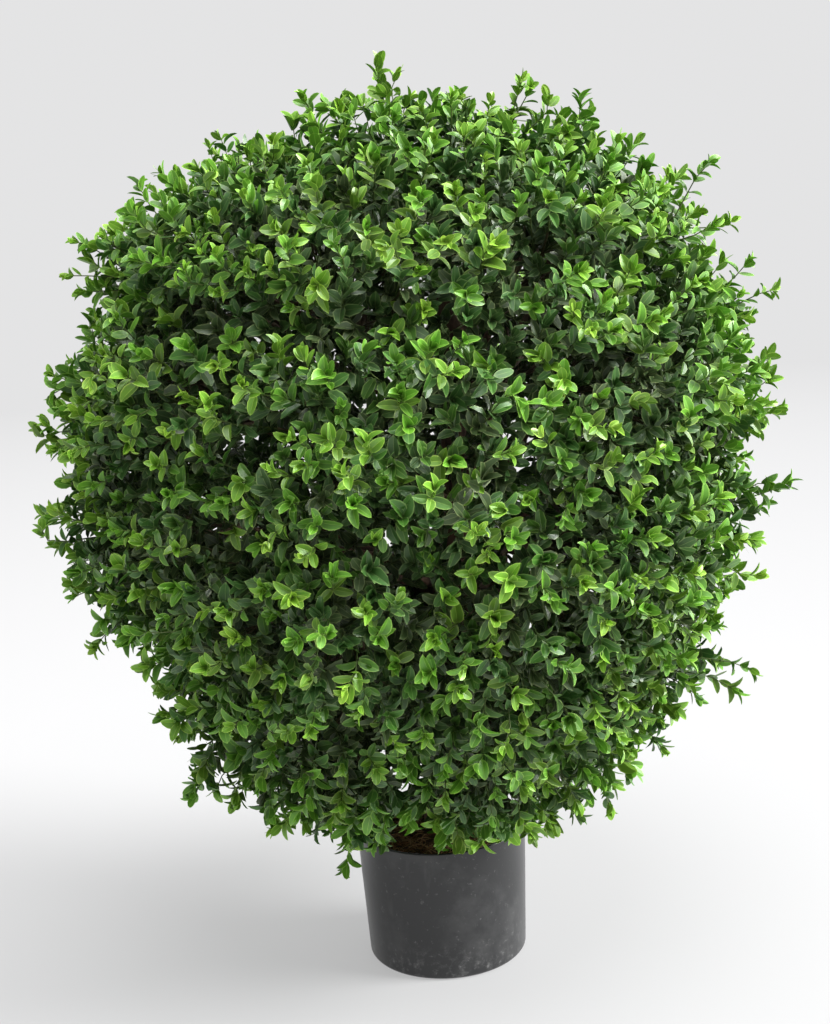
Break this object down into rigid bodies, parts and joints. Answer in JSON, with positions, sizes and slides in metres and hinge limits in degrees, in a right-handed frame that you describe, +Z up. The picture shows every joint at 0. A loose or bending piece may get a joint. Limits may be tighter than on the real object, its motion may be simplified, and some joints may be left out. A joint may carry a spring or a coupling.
{
  "type": "artificial boxwood ball in a nursery pot",
  "caption": "Artificial box topiary: a clipped ball of small glossy moulded leaves on a short wooden stem, standing in a plain round black pot.",
  "frame": {"origin": "centre of the pot's flat underside", "axes": "+Z up along the pot's axis, -Y towards the front, +X to the right seen from the front"},
  "size_m": [0.7223, 0.7361, 0.9],
  "materials": {
    "pot": "matte black moulded plastic, faintly dusty",
    "pot_fill": "rough rigid foam",
    "coir": "loose brown coir fibre",
    "bark": "rough brown bark",
    "bough": "moulded brown-green plastic stem",
    "foliage": "glossy moulded green leaves"
  },
  "bodies": {
    "root": {"pot": "pot", "pot_fill": "pot_fill", "coir_top": "coir", "trunk": "bark", "foliage_top": "foliage", "bough_upper_1": "bough", "foliage_upper_1": "foliage", "bough_upper_2": "bough", "foliage_upper_2": "foliage", "bough_upper_3": "bough", "foliage_upper_3": "foliage", "bough_upper_4": "bough", "foliage_upper_4": "foliage", "bough_upper_5": "bough", "foliage_upper_5": "foliage", "bough_upper_6": "bough", "foliage_upper_6": "foliage", "bough_shoulder_1": "bough", "foliage_shoulder_1": "foliage", "bough_shoulder_2": "bough", "foliage_shoulder_2": "foliage", "bough_shoulder_3": "bough", "foliage_shoulder_3": "foliage", "bough_shoulder_4": "bough", "foliage_shoulder_4": "foliage", "bough_shoulder_5": "bough", "foliage_shoulder_5": "foliage", "bough_shoulder_6": "bough", "foliage_shoulder_6": "foliage", "bough_shoulder_7": "bough", "foliage_shoulder_7": "foliage", "bough_waist_1": "bough", "foliage_waist_1": "foliage", "bough_waist_2": "bough", "foliage_waist_2": "foliage", "bough_waist_3": "bough", "foliage_waist_3": "foliage", "bough_waist_4": "bough", "foliage_waist_4": "foliage", "bough_waist_5": "bough", "foliage_waist_5": "foliage", "bough_waist_6": "bough", "foliage_waist_6": "foliage", "bough_waist_7": "bough", "foliage_waist_7": "foliage", "bough_skirt_1": "bough", "foliage_skirt_1": "foliage", "bough_skirt_2": "bough", "foliage_skirt_2": "foliage", "bough_skirt_3": "bough", "foliage_skirt_3": "foliage", "bough_skirt_4": "bough", "foliage_skirt_4": "foliage", "bough_skirt_5": "bough", "foliage_skirt_5": "foliage", "bough_skirt_6": "bough", "foliage_skirt_6": "foliage"}
  },
  "joints": []
}
